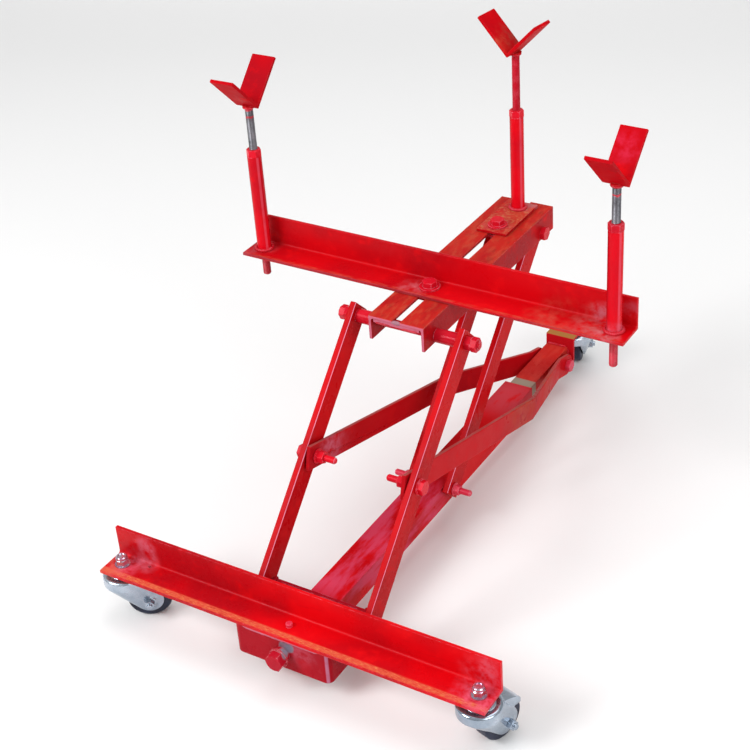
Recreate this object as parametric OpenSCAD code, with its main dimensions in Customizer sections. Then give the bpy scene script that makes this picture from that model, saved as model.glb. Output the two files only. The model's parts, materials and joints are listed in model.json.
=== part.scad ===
// Screw-driven transmission jack: T-shaped base on three casters, parallel
// lifting arms, slotted top frame and three V saddles on threaded rods.
// X = across (right), Y = front to rear, Z = up, floor at Z = 0.

/* [Base] */
// Overall length of the front and upper cross beams
beam_len = 610; // [500:5:700]
// Leg width of the beam angle iron
beam_leg = 50; // [40:0.5:65]
// Wall of the beam angle iron
beam_t = 4.8; // [3:0.1:8]
// Underside of the front beam above the floor
beam_z = 83; // [70:1:100]
// Stem spacing from the beam centre
stem_x = 284; // [240:1:290]
// Width of the screw box under the beam
box_w = 152; // [120:1:160]
// Sideways offset of the screw box from the centre
box_x = -2.5; // [-5:0.5:5]
// Depth of the screw box, front to rear
box_d = 104; // [90:1:130]
// Underside of the screw box
box_z = 30.3; // [25:0.1:40]
// Width of the base channel
chan_w = 49.4; // [45:0.1:55]
// Height of the base channel
chan_h = 37; // [34:0.1:42]
// Underside of the base channel
chan_z = 37; // [30:0.5:45]
// Rear end of the base channel
chan_end = 700; // [650:5:740]
// Wall of the base channel
chan_t = 4.6; // [3:0.1:6]
// Across flats of the drive screw's hexagon
hex_af = 24; // [17:1:30]

/* [Slide tube] */
// Width of the sliding tube
tube_w = 38; // [36:0.1:39.5]
// Height of the sliding tube
tube_h = 27; // [24:0.1:27.2]
// Wall of the sliding tube
tube_t = 3; // [2:0.1:3.5]
// Front end of the sliding tube at rest
tube_front = 425; // [400:5:460]
// Rear end of the sliding tube at rest
tube_end = 846; // [840:1:870]

/* [Linkage] */
// Length of the lifting arms between pivots
arm_len = 413.33; // [380:0.01:440]
// Arm angle above the floor at rest
arm_ang = 45.637; // [35:0.001:55]
// Front pivot, distance behind the beam's front edge
piv_y = 80; // [70:0.5:95]
// Height of both lower pivots
piv_z = 66; // [60:0.5:72]
// Spacing of front and rear pivots
piv_d = 332; // [300:1:360]
// Width of the lifting arms
arm_w = 36.5; // [30:0.5:40]
// Thickness of the lifting arms
arm_t = 9.5; // [8:0.1:12]
// Inner face of the front arms from the centre
arm_x = 82; // [78:0.5:90]
// Inner face of the rear arms from the centre
rarm_x = 26.9; // [26:0.1:30]
// Width of the push links
link_w = 36; // [30:0.5:40]
// Thickness of the push links
link_t = 6.4; // [5:0.1:8]
// Inner face of the push links at the front
link_x = 73; // [70:0.1:75]
// Inner face of the push links at the rear
link_x2 = 23.6; // [22:0.1:26]
// Rear pivot of the push links, from the front edge
link_y = 823; // [815:1:845]
// Rear pivot height of the push links
link_z = 49; // [45:0.5:55]
// Diameter of the upper and front pivot bolts
bolt_d = 12.7; // [10:0.1:16]
// Diameter of the middle pivot bolts
bolt_m = 9.8; // [8:0.1:12.7]
// Diameter of the rear arms' lower studs
bolt_r = 9.5; // [8:0.1:12.7]

/* [Top frame] */
// Front end of the rails at rest
rail_y = 335.6; // [320:0.1:350]
// Length of the rails
rail_len = 404; // [380:1:430]
// Overall width over both rails
rail_w = 88.4; // [84:0.1:95]
// Depth of the rails' outer legs
rail_h = 38; // [32:0.5:45]
// Wall of the rails
rail_t = 4.8; // [3:0.1:6]
// Width of the slot between the rails
slot_w = 12; // [10:0.1:16]
// Top of the rails above the upper pivots
rail_up = 27.9; // [20:0.1:30]
// Front edge of the upper cross beam
cross_y = 406.5; // [380:0.5:430]
// Front edge of the rear plate
plate_y = 618.5; // [590:0.5:630]
// Length of the rear plate
plate_len = 107; // [90:1:120]
// Width of the rear plate
plate_w = 50; // [40:1:60]

/* [Saddle posts] */
// Distance of the right post from the centre
post_x = 280.5; // [250:0.5:290]
// Distance of the left post from the centre
post_xl = 282.5; // [250:0.5:290]
// Sideways offset of the centre post
post_xc = 1.5; // [-5:0.5:5]
// Height of the post tubes
post_h = 150; // [120:1:180]
// Outside diameter of the post tubes
post_d = 21; // [18:0.1:26]
// Diameter of the adjusting rods
rod_d = 12; // [10:0.1:14]
// Length of the outer adjusting rods
rod_len = 266; // [220:1:300]
// Fold height of the left saddle
sad_l = 619; // [600:1:680]
// Fold height of the right saddle
sad_r = 607; // [600:1:680]
// Fold height of the centre saddle
sad_c = 641; // [600:1:680]
// Width of the saddle plates along the groove
sad_w = 38; // [30:1:45]
// Length of each saddle plate
sad_s = 78; // [60:1:90]
// Thickness of the saddle plates
sad_t = 5; // [3:0.1:8]

/* [Casters] */
// Distance of the rear caster stem behind the tube end
rear_stem = 46; // [42:1:50]
// Sideways offset of the rear caster stem
rear_stem_x = 9; // [-5:1:10]
// Width of the rear bracket
brk_w = 51; // [44:1:60]
// Sideways offset of the rear bracket
brk_x = 4.5; // [-5:0.5:6]
// Wheel diameter
wheel_d = 63.5; // [50:0.5:75]
// Wheel width
wheel_w = 24.5; // [18:0.5:28]
// Trail of the wheel behind its stem
trail = 31; // [20:0.5:35]
// Radius of the caster forks' cup
cup_r = 31; // [26:0.5:34]
// Radius of the fork legs' round ends
leg_r = 20; // [10:0.5:24]
// Swivel direction of the left front caster
swing_l = 36; // [0:1:360]
// Swivel direction of the right front caster
swing_r = 74; // [0:1:360]
// Swivel direction of the rear caster
swing_b = 108; // [0:1:180]

/* [Hidden] */
$fn = 64;
e = 0.01;
ca = cos(arm_ang);
sa = sin(arm_ang);
top_y = piv_y + arm_len*ca;
top_z = piv_z + arm_len*sa;
mid_y = piv_y + arm_len/2*ca;
mid_z = piv_z + arm_len/2*sa;
rail_top = top_z + rail_up;
link_len = sqrt(pow(link_y - mid_y, 2) + pow(link_z - mid_z, 2));
link_ang = atan2(link_z - mid_z, link_y - mid_y);
beam_top = beam_z + beam_t;
chan_top = chan_z + chan_h;
tube_z = chan_z + chan_h/2;
screw_z = tube_z + 1;
deck_z = rail_top + 0.3;
post_z = deck_z + beam_t;
cross_mid = cross_y + beam_leg/2;
post_y = cross_y + 25.5;
plate_bolt_y = plate_y + 21;
cpost_y = plate_y + 86;
stem_y = 25.4;
rstem_y = tube_end + rear_stem;
nut_af = 19;
nut_h = 11;
head_h = 8;
fit = 0.02;
off_x = 7;
off_y = 465.5;
steel = [0.72, 0.74, 0.77];
red = [0.80, 0.05, 0.07];
dark = [0.18, 0.19, 0.26];

module xc(x0, x1, r) translate([min(x0, x1), 0, 0]) rotate([0, 90, 0]) cylinder(h = abs(x1 - x0), r = r);
module yc(y0, y1, r) translate([0, y0, 0]) rotate([-90, 0, 0]) cylinder(h = y1 - y0, r = r);
module xhex(x0, x1, af, a = 0) translate([min(x0, x1), 0, 0]) rotate([a, 0, 0]) rotate([0, 90, 0])
  cylinder(h = abs(x1 - x0), d = af/cos(30), $fn = 6);
module at_yz(y, z) translate([0, y, z]) children();
module o() translate([-off_x, -off_y, 0]) children();
// hexagon blunted by a round, as on real nuts and bolt heads
module zhex(h, af, a = 0) rotate([0, 0, a]) intersection() {
  cylinder(h = h, d = af/cos(30), $fn = 6);
  union() {
    translate([0, 0, -e]) cylinder(h = h - 0.9, r = af);
    translate([0, 0, h - 1.4]) cylinder(h = 1.4 + e, r1 = af/2*1.15, r2 = af/2*0.96);
  }
}

// ---- base ----
module front_beam() color(red) o() difference() {
  translate([-beam_len/2, 0, 0]) rotate([90, 0, 90]) linear_extrude(beam_len) difference() {
    union() {
      translate([0, beam_z]) square([beam_leg, beam_t]);
      translate([beam_leg - beam_t, beam_z]) square([beam_t, beam_leg]);
      translate([beam_leg - beam_t - 4, beam_top]) square(4);
    }
    translate([beam_leg - beam_t - 4, beam_top + 4]) circle(r = 4);
  }
  for (s = [-1, 1]) translate([s*stem_x, stem_y, beam_z - 1]) cylinder(h = beam_t + 2, r = 5);
  translate([-246, 38, beam_z - 1]) cylinder(h = beam_t + 2, r = 2.6);
  translate([0, 24, beam_z - 1]) cylinder(h = beam_t + 2, r = 4);
}

module beam_plug() color(red) o() translate([0, 24, 0]) {
  translate([0, 0, chan_top + 2]) cylinder(h = beam_top + 4 - chan_top - 2, r = 4 - fit);
  translate([0, 0, beam_top]) cylinder(h = 4.6, r = 4.8);
  translate([0, 0, beam_top + 4.6]) cylinder(h = 0.9, r1 = 4.8, r2 = 3.9);
}

module screw_box() color(red) o() difference() {
  translate([box_x, 0, box_z]) linear_extrude(beam_z - box_z) difference() {
    union() {
      translate([-box_w/2, 13]) square([box_w, box_d - 10]);
      translate([-box_w/2 + 10, 3]) square([box_w - 20, 20]);
      for (s = [-1, 1]) translate([s*(box_w/2 - 10), 13]) circle(r = 10);
    }
    translate([-box_w/2 + 5, 13]) square([box_w - 10, box_d]);
    translate([-box_w/2 + 10, 8]) square([box_w - 20, box_d]);
    for (s = [-1, 1]) translate([s*(box_w/2 - 10), 13]) circle(r = 5);
  }
  translate([0, 0, screw_z]) yc(-1, 10, 9);
  at_yz(piv_y, piv_z) xc(-box_w, box_w, bolt_d/2 + fit);
}

// cross web behind the box and the pad that ties channel and beam together
module channel_web() color(red) o() {
  difference() {
    translate([box_x - box_w/2 + 5, 100, box_z + 1]) cube([box_w - 10, 5, beam_z - box_z - 3]);
    translate([-chan_w/2 - 0.05, 98, chan_z - 0.05]) cube([chan_w + 0.1, 9, chan_h + 0.1]);
  }
  translate([-chan_w/2 + 2, 13, chan_top]) difference() {
    cube([chan_w - 4, 34, beam_z - chan_top]);
    translate([chan_w/2 - 2, 11, -1]) cylinder(h = 12, r = 4);
  }
}

module base_channel() color(red) o() difference() {
  translate([-chan_w/2, 8, chan_z]) cube([chan_w, chan_end - 8, chan_h]);
  translate([-chan_w/2 + chan_t, 7, chan_z + chan_t]) cube([chan_w - 2*chan_t, chan_end, chan_h - 2*chan_t]);
}

module rear_pivot_studs() color(red) o() at_yz(piv_y + piv_d, piv_z) for (s = [-1, 1]) {
  xc(s*chan_w/2, s*63.5, bolt_r/2);
  xc(s*63.5, s*65, bolt_r/2 - 1.2);
}
module rear_pivot_nuts() color(red) o() at_yz(piv_y + piv_d, piv_z) for (s = [-1, 1]) difference() {
  union() {
    xhex(s*38.7, s*(38.7 + 8.3), 14.3, 12);
    xc(s*36.9, s*38.7, 10);
  }
  xc(s*36, s*60, bolt_r/2 + fit);
}

module front_pivot_bolts() color(red) o() at_yz(piv_y, piv_z) for (s = [-1, 1]) {
  xhex(box_x + s*(box_w/2 - 5 - head_h), box_x + s*(box_w/2 - 5), nut_af, 0);
  xc(box_x + s*(box_w/2 - 5), s*112, bolt_d/2);
}
module front_pivot_nuts() color(red) o() at_yz(piv_y, piv_z) for (s = [-1, 1]) difference() {
  union() {
    xc(box_x + s*box_w/2, s*(arm_x - 0.4), 10.5);
    xc(s*(arm_x + arm_t + 0.4), s*(arm_x + arm_t + 2.4), 12);
    xhex(s*(arm_x + arm_t + 2.4), s*(arm_x + arm_t + 2.4 + nut_h), nut_af, 20);
  }
  xc(s*70, s*120, bolt_d/2 + fit);
}

// caster plate with its kingpin below and its threaded stem and nut above
module stem(x, y, z) translate([x, y, 0]) {
  translate([0, 0, z - 3.4]) cylinder(h = 3.4, r = 20);
  translate([0, 0, z - 14]) cylinder(h = 12, r = 4.8);
  translate([0, 0, z - 15]) cylinder(h = 3.6, r = 8);
  translate([0, 0, z - e]) cylinder(h = beam_t + nut_h + 3.2, r = 5 - fit);
  translate([0, 0, z + beam_t]) cylinder(h = 1.6, r = 11);
  translate([0, 0, z + beam_t + 1.6]) zhex(9.4, 17, 18);
  translate([0, 0, z + beam_t + 10.9]) difference() {
    union() {
      cylinder(h = 3.2, r = 8);
      translate([0, 0, 3.2 - e]) cylinder(h = 1.4, r1 = 8, r2 = 6.8);
    }
    translate([0, 0, 3.2]) cylinder(h = 3, r = 5.2);
  }
}
module front_caster_stems() color(steel) o() for (s = [-1, 1]) stem(s*stem_x, stem_y, beam_z);

// ---- drive screw ----
module drive_screw() color(red) o() translate([0, 0, screw_z]) {
  yc(-8, 560, 7.9);
  yc(-5.5, 2.6, 11.5);
  yc(-8, -5.5, 14.5);
  yc(8.4, 12, 12);
  translate([0, -7.5, 0]) rotate([90, 0, 0]) zhex(12.5, hex_af, 0);
}

// ---- slide tube ----
module slide_tube() color(red) o() translate([0, 0, tube_z]) difference() {
  translate([-tube_w/2, tube_front, -tube_h/2]) cube([tube_w, tube_end - tube_front, tube_h]);
  translate([-tube_w/2 + tube_t, tube_front - 1, -tube_h/2 + tube_t])
    cube([tube_w - 2*tube_t, tube_end - tube_front + 2, tube_h - 2*tube_t]);
}
module screw_nut() color(steel) o() translate([0, 0, tube_z]) difference() {
  translate([-tube_w/2 + tube_t + fit, tube_front, -tube_h/2 + tube_t + fit])
    cube([tube_w - 2*tube_t - 2*fit, 30, tube_h - 2*tube_t - 2*fit]);
  translate([0, 0, screw_z - tube_z]) yc(tube_front - 1, tube_front + 40, 8.2);
}
module rear_bracket() color(red) o() difference() {
  union() {
    translate([brk_x - brk_w/2, tube_end, 44]) cube([brk_w, beam_t, beam_top - 44]);
    translate([brk_x - brk_w/2, tube_end, beam_z]) cube([brk_w, rear_stem + 24, beam_t]);
    translate([brk_x - brk_w/2, tube_end + beam_t - e, beam_z - 4]) cube([brk_w, 4, 4 + e]);
  }
  translate([brk_x - brk_w/2 - 1, tube_end + beam_t + 4, beam_z - 4]) rotate([0, 90, 0]) cylinder(h = brk_w + 2, r = 4);
  translate([rear_stem_x, rstem_y, beam_z - 1]) cylinder(h = beam_t + 2, r = 5);
}
module rear_caster_stem() color(steel) o() stem(rear_stem_x, rstem_y, beam_z);

// ---- lifting arms ----
module arm_frame(dy) translate([0, piv_y + dy, piv_z]) rotate([arm_ang, 0, 0]) children();
module front_arm(s) color(red) o() difference() {
  arm_frame(0) translate([s > 0 ? arm_x : -arm_x - arm_t, -19, -arm_w/2]) cube([arm_t, arm_len + 33.5, arm_w]);
  at_yz(piv_y, piv_z) xc(s*70, s*100, bolt_d/2 + 0.05);
  at_yz(mid_y, mid_z) xc(s*70, s*100, bolt_m/2 + fit);
  at_yz(top_y, top_z) xc(s*70, s*100, bolt_d/2 + fit);
}
module front_arm_left() front_arm(-1);
module front_arm_right() front_arm(1);

module cross_shaft() color(red) o() at_yz(top_y, top_z) {
  xc(-111, 111, bolt_d/2);
  for (s = [-1, 1]) xc(s*111, s*112.5, bolt_d/2 - 1.5);
}
module shaft_nuts() color(red) o() at_yz(top_y, top_z) for (s = [-1, 1]) difference() {
  union() {
    xhex(s*(arm_x + arm_t), s*(arm_x + arm_t + 9), nut_af, 8);
    xhex(s*(arm_x + arm_t + 9), s*(arm_x + arm_t + 18), nut_af, 25);
  }
  xc(s*90, s*115, bolt_d/2 + fit);
}
module spacer_tubes() color(red) o() at_yz(top_y, top_z) for (s = [-1, 1]) difference() {
  xc(s*(rail_w/2 + 0.5), s*arm_x, 10.2);
  xc(s*40, s*90, bolt_d/2 + fit);
}
module mid_pivot_bolts() color(red) o() at_yz(mid_y, mid_z) for (s = [-1, 1]) {
  xc(s*43, s*(arm_x + arm_t), bolt_m/2);
  xc(s*41.5, s*43, bolt_m/2 - 1.2);
  xc(s*(arm_x + arm_t), s*(arm_x + arm_t + 1.6), 12);
  xhex(s*(arm_x + arm_t + 1.6), s*(arm_x + arm_t + 1.6 + head_h), nut_af, 15);
}
module mid_pivot_nuts() color(red) o() at_yz(mid_y, mid_z) for (s = [-1, 1]) difference() {
  union() {
    xhex(s*(link_x - 2.2 - nut_h), s*(link_x - 2.2), 16, 5);
    xc(s*(link_x - 2.2), s*(link_x - 0.4), 11);
    xc(s*(link_x + link_t + 0.4), s*arm_x, 11);
  }
  xc(s*45, s*90, bolt_m/2 + fit);
}

module rear_arm(s) color(red) o() difference() {
  arm_frame(piv_d) {
    translate([s > 0 ? rarm_x : -rarm_x - arm_t, -11, -arm_w/2]) cube([arm_t, arm_len + 11, arm_w]);
    translate([0, arm_len, 0]) xc(s*rarm_x, s*(rarm_x + arm_t), arm_w/2);
  }
  at_yz(piv_y + piv_d, piv_z) xc(s*20, s*45, bolt_r/2 + 0.05);
  at_yz(top_y + piv_d, top_z) xc(s*20, s*45, bolt_d/2 + 0.05);
}
module rear_arm_left() rear_arm(-1);
module rear_arm_right() rear_arm(1);

// ---- push links ----
// plan outline: straight at the arms, joggled in to the tube, straight at the rear
module link_plan() {
  j0 = 385;
  j1 = 590;
  polygon([[-19, link_x], [j0, link_x], [j1, link_x2], [link_len, link_x2], [link_len, link_x2 + link_t],
    [j1 + 0.8, link_x2 + link_t], [j0 + 0.8, link_x + link_t], [-19, link_x + link_t]]);
}
module link(s) color(red) o() difference() {
  translate([0, mid_y, mid_z]) rotate([link_ang, 0, 0]) mirror([s < 0 ? 1 : 0, 0, 0]) {
    translate([0, 0, -link_w/2]) linear_extrude(link_w) rotate([0, 0, 90]) mirror([0, 1, 0]) link_plan();
    translate([0, link_len, 0]) xc(link_x2, link_x2 + link_t, link_w/2);
  }
  at_yz(mid_y, mid_z) xc(s*60, s*90, bolt_m/2 + 0.05);
  at_yz(link_y, link_z) xc(s*(link_x2 - 1), s*(link_x2 + link_t + 1), bolt_d/2 + fit);
}
module link_left() link(-1);
module link_right() link(1);
module link_pins() color(red) o() at_yz(link_y, link_z) for (s = [-1, 1]) {
  xc(s*(tube_w/2 + 0.6), s*link_x2, 10.5);
  xc(s*link_x2, s*(link_x2 + link_t), bolt_d/2);
  xhex(s*(link_x2 + link_t), s*(link_x2 + link_t + head_h), nut_af, 10);
}

// ---- top frame ----
module rail(s) color(red) o() difference() {
  translate([0, rail_y, rail_top]) mirror([s < 0 ? 1 : 0, 0, 0]) rotate([90, 0, 0]) mirror([0, 0, 1]) linear_extrude(rail_len) difference() {
    union() {
      translate([slot_w/2, -rail_t]) square([rail_w/2 - slot_w/2, rail_t]);
      translate([rail_w/2 - rail_t, -rail_h]) square([rail_t, rail_h]);
      translate([rail_w/2 - rail_t - 3, -rail_t - 3]) square(3);
    }
    translate([rail_w/2 - rail_t - 3, -rail_t - 3]) circle(r = 3);
  }
  at_yz(top_y, top_z) xc(s*30, s*60, bolt_d/2 + 0.05);
  at_yz(top_y + piv_d, top_z) xc(s*30, s*60, bolt_d/2 + fit);
}
module rail_left() rail(-1);
module rail_right() rail(1);
module rail_straps() color(red) o() for (y = [rail_y + 1, rail_y + rail_len - 13])
  translate([-rail_w/2 + 8, y, rail_top - rail_t - 4.8]) cube([rail_w - 16, 12, 4.8]);
module rear_top_bolts() color(red) o() at_yz(top_y + piv_d, top_z) for (s = [-1, 1]) {
  xhex(s*rail_w/2, s*(rail_w/2 + head_h), nut_af, 12);
  xc(s*12, s*rail_w/2, bolt_d/2);
}
module rear_top_nuts() color(red) o() at_yz(top_y + piv_d, top_z) for (s = [-1, 1]) difference() {
  union() {
    xhex(s*14, s*(14 + nut_h), nut_af, 0);
    xc(s*(14 + nut_h), s*(rarm_x - 0.4), 11);
  }
  xc(s*10, s*40, bolt_d/2 + fit);
}

// ---- upper cross beam ----
module cross_beam() color(red) o() difference() {
  translate([-beam_len/2, cross_y, deck_z]) rotate([90, 0, 90]) linear_extrude(beam_len) difference() {
    union() {
      square([beam_leg, beam_t]);
      translate([beam_leg - beam_t, 0]) square([beam_t, beam_leg - 1]);
      translate([beam_leg - beam_t - 4, beam_t]) square(4);
    }
    translate([beam_leg - beam_t - 4, beam_t + 4]) circle(r = 4);
  }
  translate([0, cross_mid, rail_top - 1]) cylinder(h = beam_t + 3, r = 5.06);
  for (x = [-post_xl, post_x]) translate([x, post_y, rail_top - 1]) cylinder(h = beam_t + 2, r = rod_d/2 + 0.6);
}
// bolt, washer and under-plate that ride in the slot
module clamp(y) color(red) o() translate([0, y, deck_z]) {
  translate([0, 0, beam_t + 0.3]) cylinder(h = 2.4, r = 15);
  translate([0, 0, beam_t + 2.7]) zhex(head_h, nut_af, 12);
  translate([0, 0, -rail_t - 15.6]) cylinder(h = 15.6 + rail_t + beam_t + 1, r = 5);
  translate([-16, -14, -rail_t - 5.6]) cube([32, 28, 5]);
  translate([0, 0, -rail_t - 5.6 - 9]) zhex(9.1, 16, 0);
}
module cross_clamp() clamp(cross_mid);
module plate_clamp() clamp(plate_bolt_y);
module rear_plate() color(red) o() difference() {
  translate([-plate_w/2, plate_y, deck_z]) cube([plate_w, plate_len, beam_t]);
  translate([0, plate_bolt_y, rail_top - 1]) cylinder(h = beam_t + 3, r = 5.06);
}

module post(x, y) color(red) o() translate([x, y, post_z]) difference() {
  union() {
    cylinder(h = post_h, d = post_d);
    cylinder(h = 3, r1 = post_d/2 + 3, r2 = post_d/2);
  }
  translate([0, 0, -1]) cylinder(h = post_h + 2, r = rod_d/2 + 1.6);
}
module post_left() post(-post_xl, post_y);
module post_right() post(post_x, post_y);
module post_center() post(post_xc, cpost_y);
module pnut(x, y) color(red) o() translate([x, y, post_z + post_h]) difference() {
  zhex(nut_h, nut_af, 20);
  translate([0, 0, -1]) cylinder(h = nut_h + 2, r = rod_d/2 + 0.08);
}
module post_nut_left() pnut(-post_xl, post_y);
module post_nut_right() pnut(post_x, post_y);
module post_nut_center() pnut(post_xc, cpost_y);

// ---- adjusting rods and V saddles ----
module rod(x, y, z, len) color(steel) o() translate([x, y, z - len]) {
  translate([0, 0, 1]) cylinder(h = len - 1, d = rod_d);
  cylinder(h = 1, r1 = rod_d/2 - 1, r2 = rod_d/2);
}
module rod_left() rod(-post_xl, post_y, sad_l - 1.2, rod_len);
module rod_right() rod(post_x, post_y, sad_r - 1.2, rod_len);
module rod_center() rod(post_xc, cpost_y, sad_c - 1.2, 166);
// fold line along X; the boss under it turns on the rod
module vee(len, shift = 0, side = 0) {
  translate([shift - sad_w/2, side, 0]) rotate([90, 0, 90]) linear_extrude(sad_w) difference() {
    rotate(45) square([len, len]);
    translate([0, sad_t*sqrt(2)]) rotate(45) square([len + 5, len + 5]);
  }
  translate([0, 0, -0.9]) cylinder(h = 5, r1 = rod_d/2 + 1.2, r2 = rod_d/2 + 3.4);
}
module saddle_left() color(red) o() translate([-post_xl, post_y, sad_l]) rotate([0, 0, 1]) vee(sad_s, -2);
module saddle_right() color(red) o() translate([post_x, post_y, sad_r]) rotate([0, 0, -1]) vee(sad_s, -1.5);
module saddle_center() color(red) o() translate([post_xc, cpost_y, sad_c]) rotate([0, 0, 82]) vee(sad_s - 6, 0, 2.5);

// ---- casters ----
module caster_at(x, y, a) translate([x, y, 0]) rotate([0, 0, a]) children();
// wheel trails along local +X; pressed cup above, two hollow legs that run in to the axle
// and a hood over the back of the wheel
module fork() {
  zr = wheel_d/2;
  zt = beam_z - 11;
  difference() {
    union() {
      rotate_extrude() difference() {
        union() {
          square([20, beam_z - 4]);
          square([cup_r - 5, beam_z - 7]);
          translate([cup_r - 5, beam_z - 12]) circle(r = 5);
          square([cup_r, beam_z - 12]);
        }
        square([60, beam_z - 23]);
      }
      for (s = [-1, 1]) intersection() {
        hull() {
          translate([0, 0, beam_z - 23]) cylinder(h = 11, r = cup_r);
          translate([trail, s > 0 ? 17.2 : -14.6, zr]) rotate([90, 0, 0]) cylinder(h = 2.6, r = leg_r);
        }
        translate([-50, s > 0 ? 14.6 : -60, -1]) cube([120, 45.4, beam_z - 12]);
      }
      intersection() {
        hull() {
          translate([0, 0, beam_z - 23]) cylinder(h = 11, r = cup_r - 4);
          translate([trail, 17.2, zr]) rotate([90, 0, 0]) cylinder(h = 34.4, r = zr + 3);
        }
        translate([trail - 14, -17.2, zr + 15]) cube([60, 34.4, beam_z - 27 - zr]);
        cylinder(h = beam_z, r = trail + 29);
      }
      for (s = [-1, 1]) translate([trail, s*17, zr]) rotate([-90*s, 0, 0]) cylinder(h = 6.2, r1 = 15, r2 = 8);
    }
    hull() {
      translate([0, 0, beam_z - 24]) cylinder(h = zt - beam_z + 24, r = cup_r - 2.6);
      translate([trail, 14.61, zr]) rotate([90, 0, 0]) cylinder(h = 29.22, r = leg_r - 2.4);
    }
    translate([-24, -14.6, -1]) cube([100, 29.2, zr + 11]);
    translate([trail, 14.6, zr]) rotate([90, 0, 0]) cylinder(h = 29.2, r = zr + 1.3);
    cylinder(h = 100, r = 4.85);
    translate([trail, 40, zr]) rotate([90, 0, 0]) cylinder(h = 80, r = 4);
  }
}
module axle() translate([trail, 0, wheel_d/2]) rotate([90, 0, 0]) {
  translate([0, 0, -27.4]) cylinder(h = 61.4, r = 4 - fit);
  rotate([0, 0, 10]) translate([0, 0, 23.22]) cylinder(h = 7.2, d = 12.7/cos(30), $fn = 6);
  rotate([0, 0, 25]) translate([0, 0, -28.6]) cylinder(h = 5.38, d = 12.7/cos(30), $fn = 6);
}
module wheel() translate([trail, 0, wheel_d/2]) rotate([90, 0, 0]) rotate_extrude($fn = 96) union() {
  translate([4.05, -14.1]) square([5.5, 28.2]);
  translate([4.05, -wheel_w/2 + 4]) square([20, wheel_w - 8]);
  translate([19, -wheel_w/2]) square([wheel_d/2 - 19 - 4, wheel_w]);
  translate([19, -wheel_w/2 + 4]) square([wheel_d/2 - 19, wheel_w - 8]);
  for (s = [-1, 1]) translate([wheel_d/2 - 4, s*(wheel_w/2 - 4)]) circle(r = 4);
}
module fork_left() color(steel) o() caster_at(-stem_x, stem_y, swing_l) fork();
module fork_right() color(steel) o() caster_at(stem_x, stem_y, swing_r) fork();
module fork_rear() color(steel) o() caster_at(rear_stem_x, rstem_y, swing_b) fork();
module axle_left() color(steel) o() caster_at(-stem_x, stem_y, swing_l) axle();
module axle_right() color(steel) o() caster_at(stem_x, stem_y, swing_r) axle();
module axle_rear() color(steel) o() caster_at(rear_stem_x, rstem_y, swing_b) axle();
module wheel_left() color(dark) o() caster_at(-stem_x, stem_y, swing_l) wheel();
module wheel_right() color(dark) o() caster_at(stem_x, stem_y, swing_r) wheel();
module wheel_rear() color(dark) o() caster_at(rear_stem_x, rstem_y, swing_b) wheel();

front_beam();
beam_plug();
screw_box();
channel_web();
base_channel();
rear_pivot_studs();
rear_pivot_nuts();
front_pivot_bolts();
front_pivot_nuts();
front_caster_stems();
drive_screw();
slide_tube();
screw_nut();
rear_bracket();
rear_caster_stem();
front_arm_left();
front_arm_right();
cross_shaft();
shaft_nuts();
spacer_tubes();
mid_pivot_bolts();
mid_pivot_nuts();
rear_arm_left();
rear_arm_right();
link_left();
link_right();
link_pins();
rail_left();
rail_right();
rail_straps();
rear_top_bolts();
rear_top_nuts();
cross_beam();
cross_clamp();
plate_clamp();
rear_plate();
post_left();
post_right();
post_center();
post_nut_left();
post_nut_right();
post_nut_center();
rod_left();
rod_right();
rod_center();
saddle_left();
saddle_right();
saddle_center();
fork_left();
fork_right();
fork_rear();
axle_left();
axle_right();
axle_rear();
wheel_left();
wheel_right();
wheel_rear();
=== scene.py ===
import json
import math
import random

import bmesh
import bpy
from mathutils import Matrix, Vector, noise


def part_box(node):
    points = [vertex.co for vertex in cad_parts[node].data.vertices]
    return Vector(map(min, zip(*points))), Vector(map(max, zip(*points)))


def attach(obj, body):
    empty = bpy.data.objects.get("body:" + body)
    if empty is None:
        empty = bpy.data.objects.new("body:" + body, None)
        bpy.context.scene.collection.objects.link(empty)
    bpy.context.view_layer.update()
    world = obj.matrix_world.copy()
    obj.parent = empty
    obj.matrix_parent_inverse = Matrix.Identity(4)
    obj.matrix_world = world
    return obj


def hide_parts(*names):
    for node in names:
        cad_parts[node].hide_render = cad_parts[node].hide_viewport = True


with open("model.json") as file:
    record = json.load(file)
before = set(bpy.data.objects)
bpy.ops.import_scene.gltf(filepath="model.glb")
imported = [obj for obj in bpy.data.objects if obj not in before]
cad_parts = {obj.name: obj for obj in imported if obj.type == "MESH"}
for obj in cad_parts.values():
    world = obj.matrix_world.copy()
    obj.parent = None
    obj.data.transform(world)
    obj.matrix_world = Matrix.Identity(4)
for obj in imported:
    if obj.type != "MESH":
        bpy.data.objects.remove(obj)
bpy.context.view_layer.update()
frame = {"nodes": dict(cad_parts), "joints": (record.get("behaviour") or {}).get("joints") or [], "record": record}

N = frame["nodes"]
REC = frame["record"]
JOINT = {j["name"]: j for j in frame["joints"]}
rnd = random.Random(7)


def mid(node):
    lo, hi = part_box(node)
    return (lo + hi) / 2


def jpos(name):
    return Vector(JOINT[name]["pos_m"])


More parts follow.
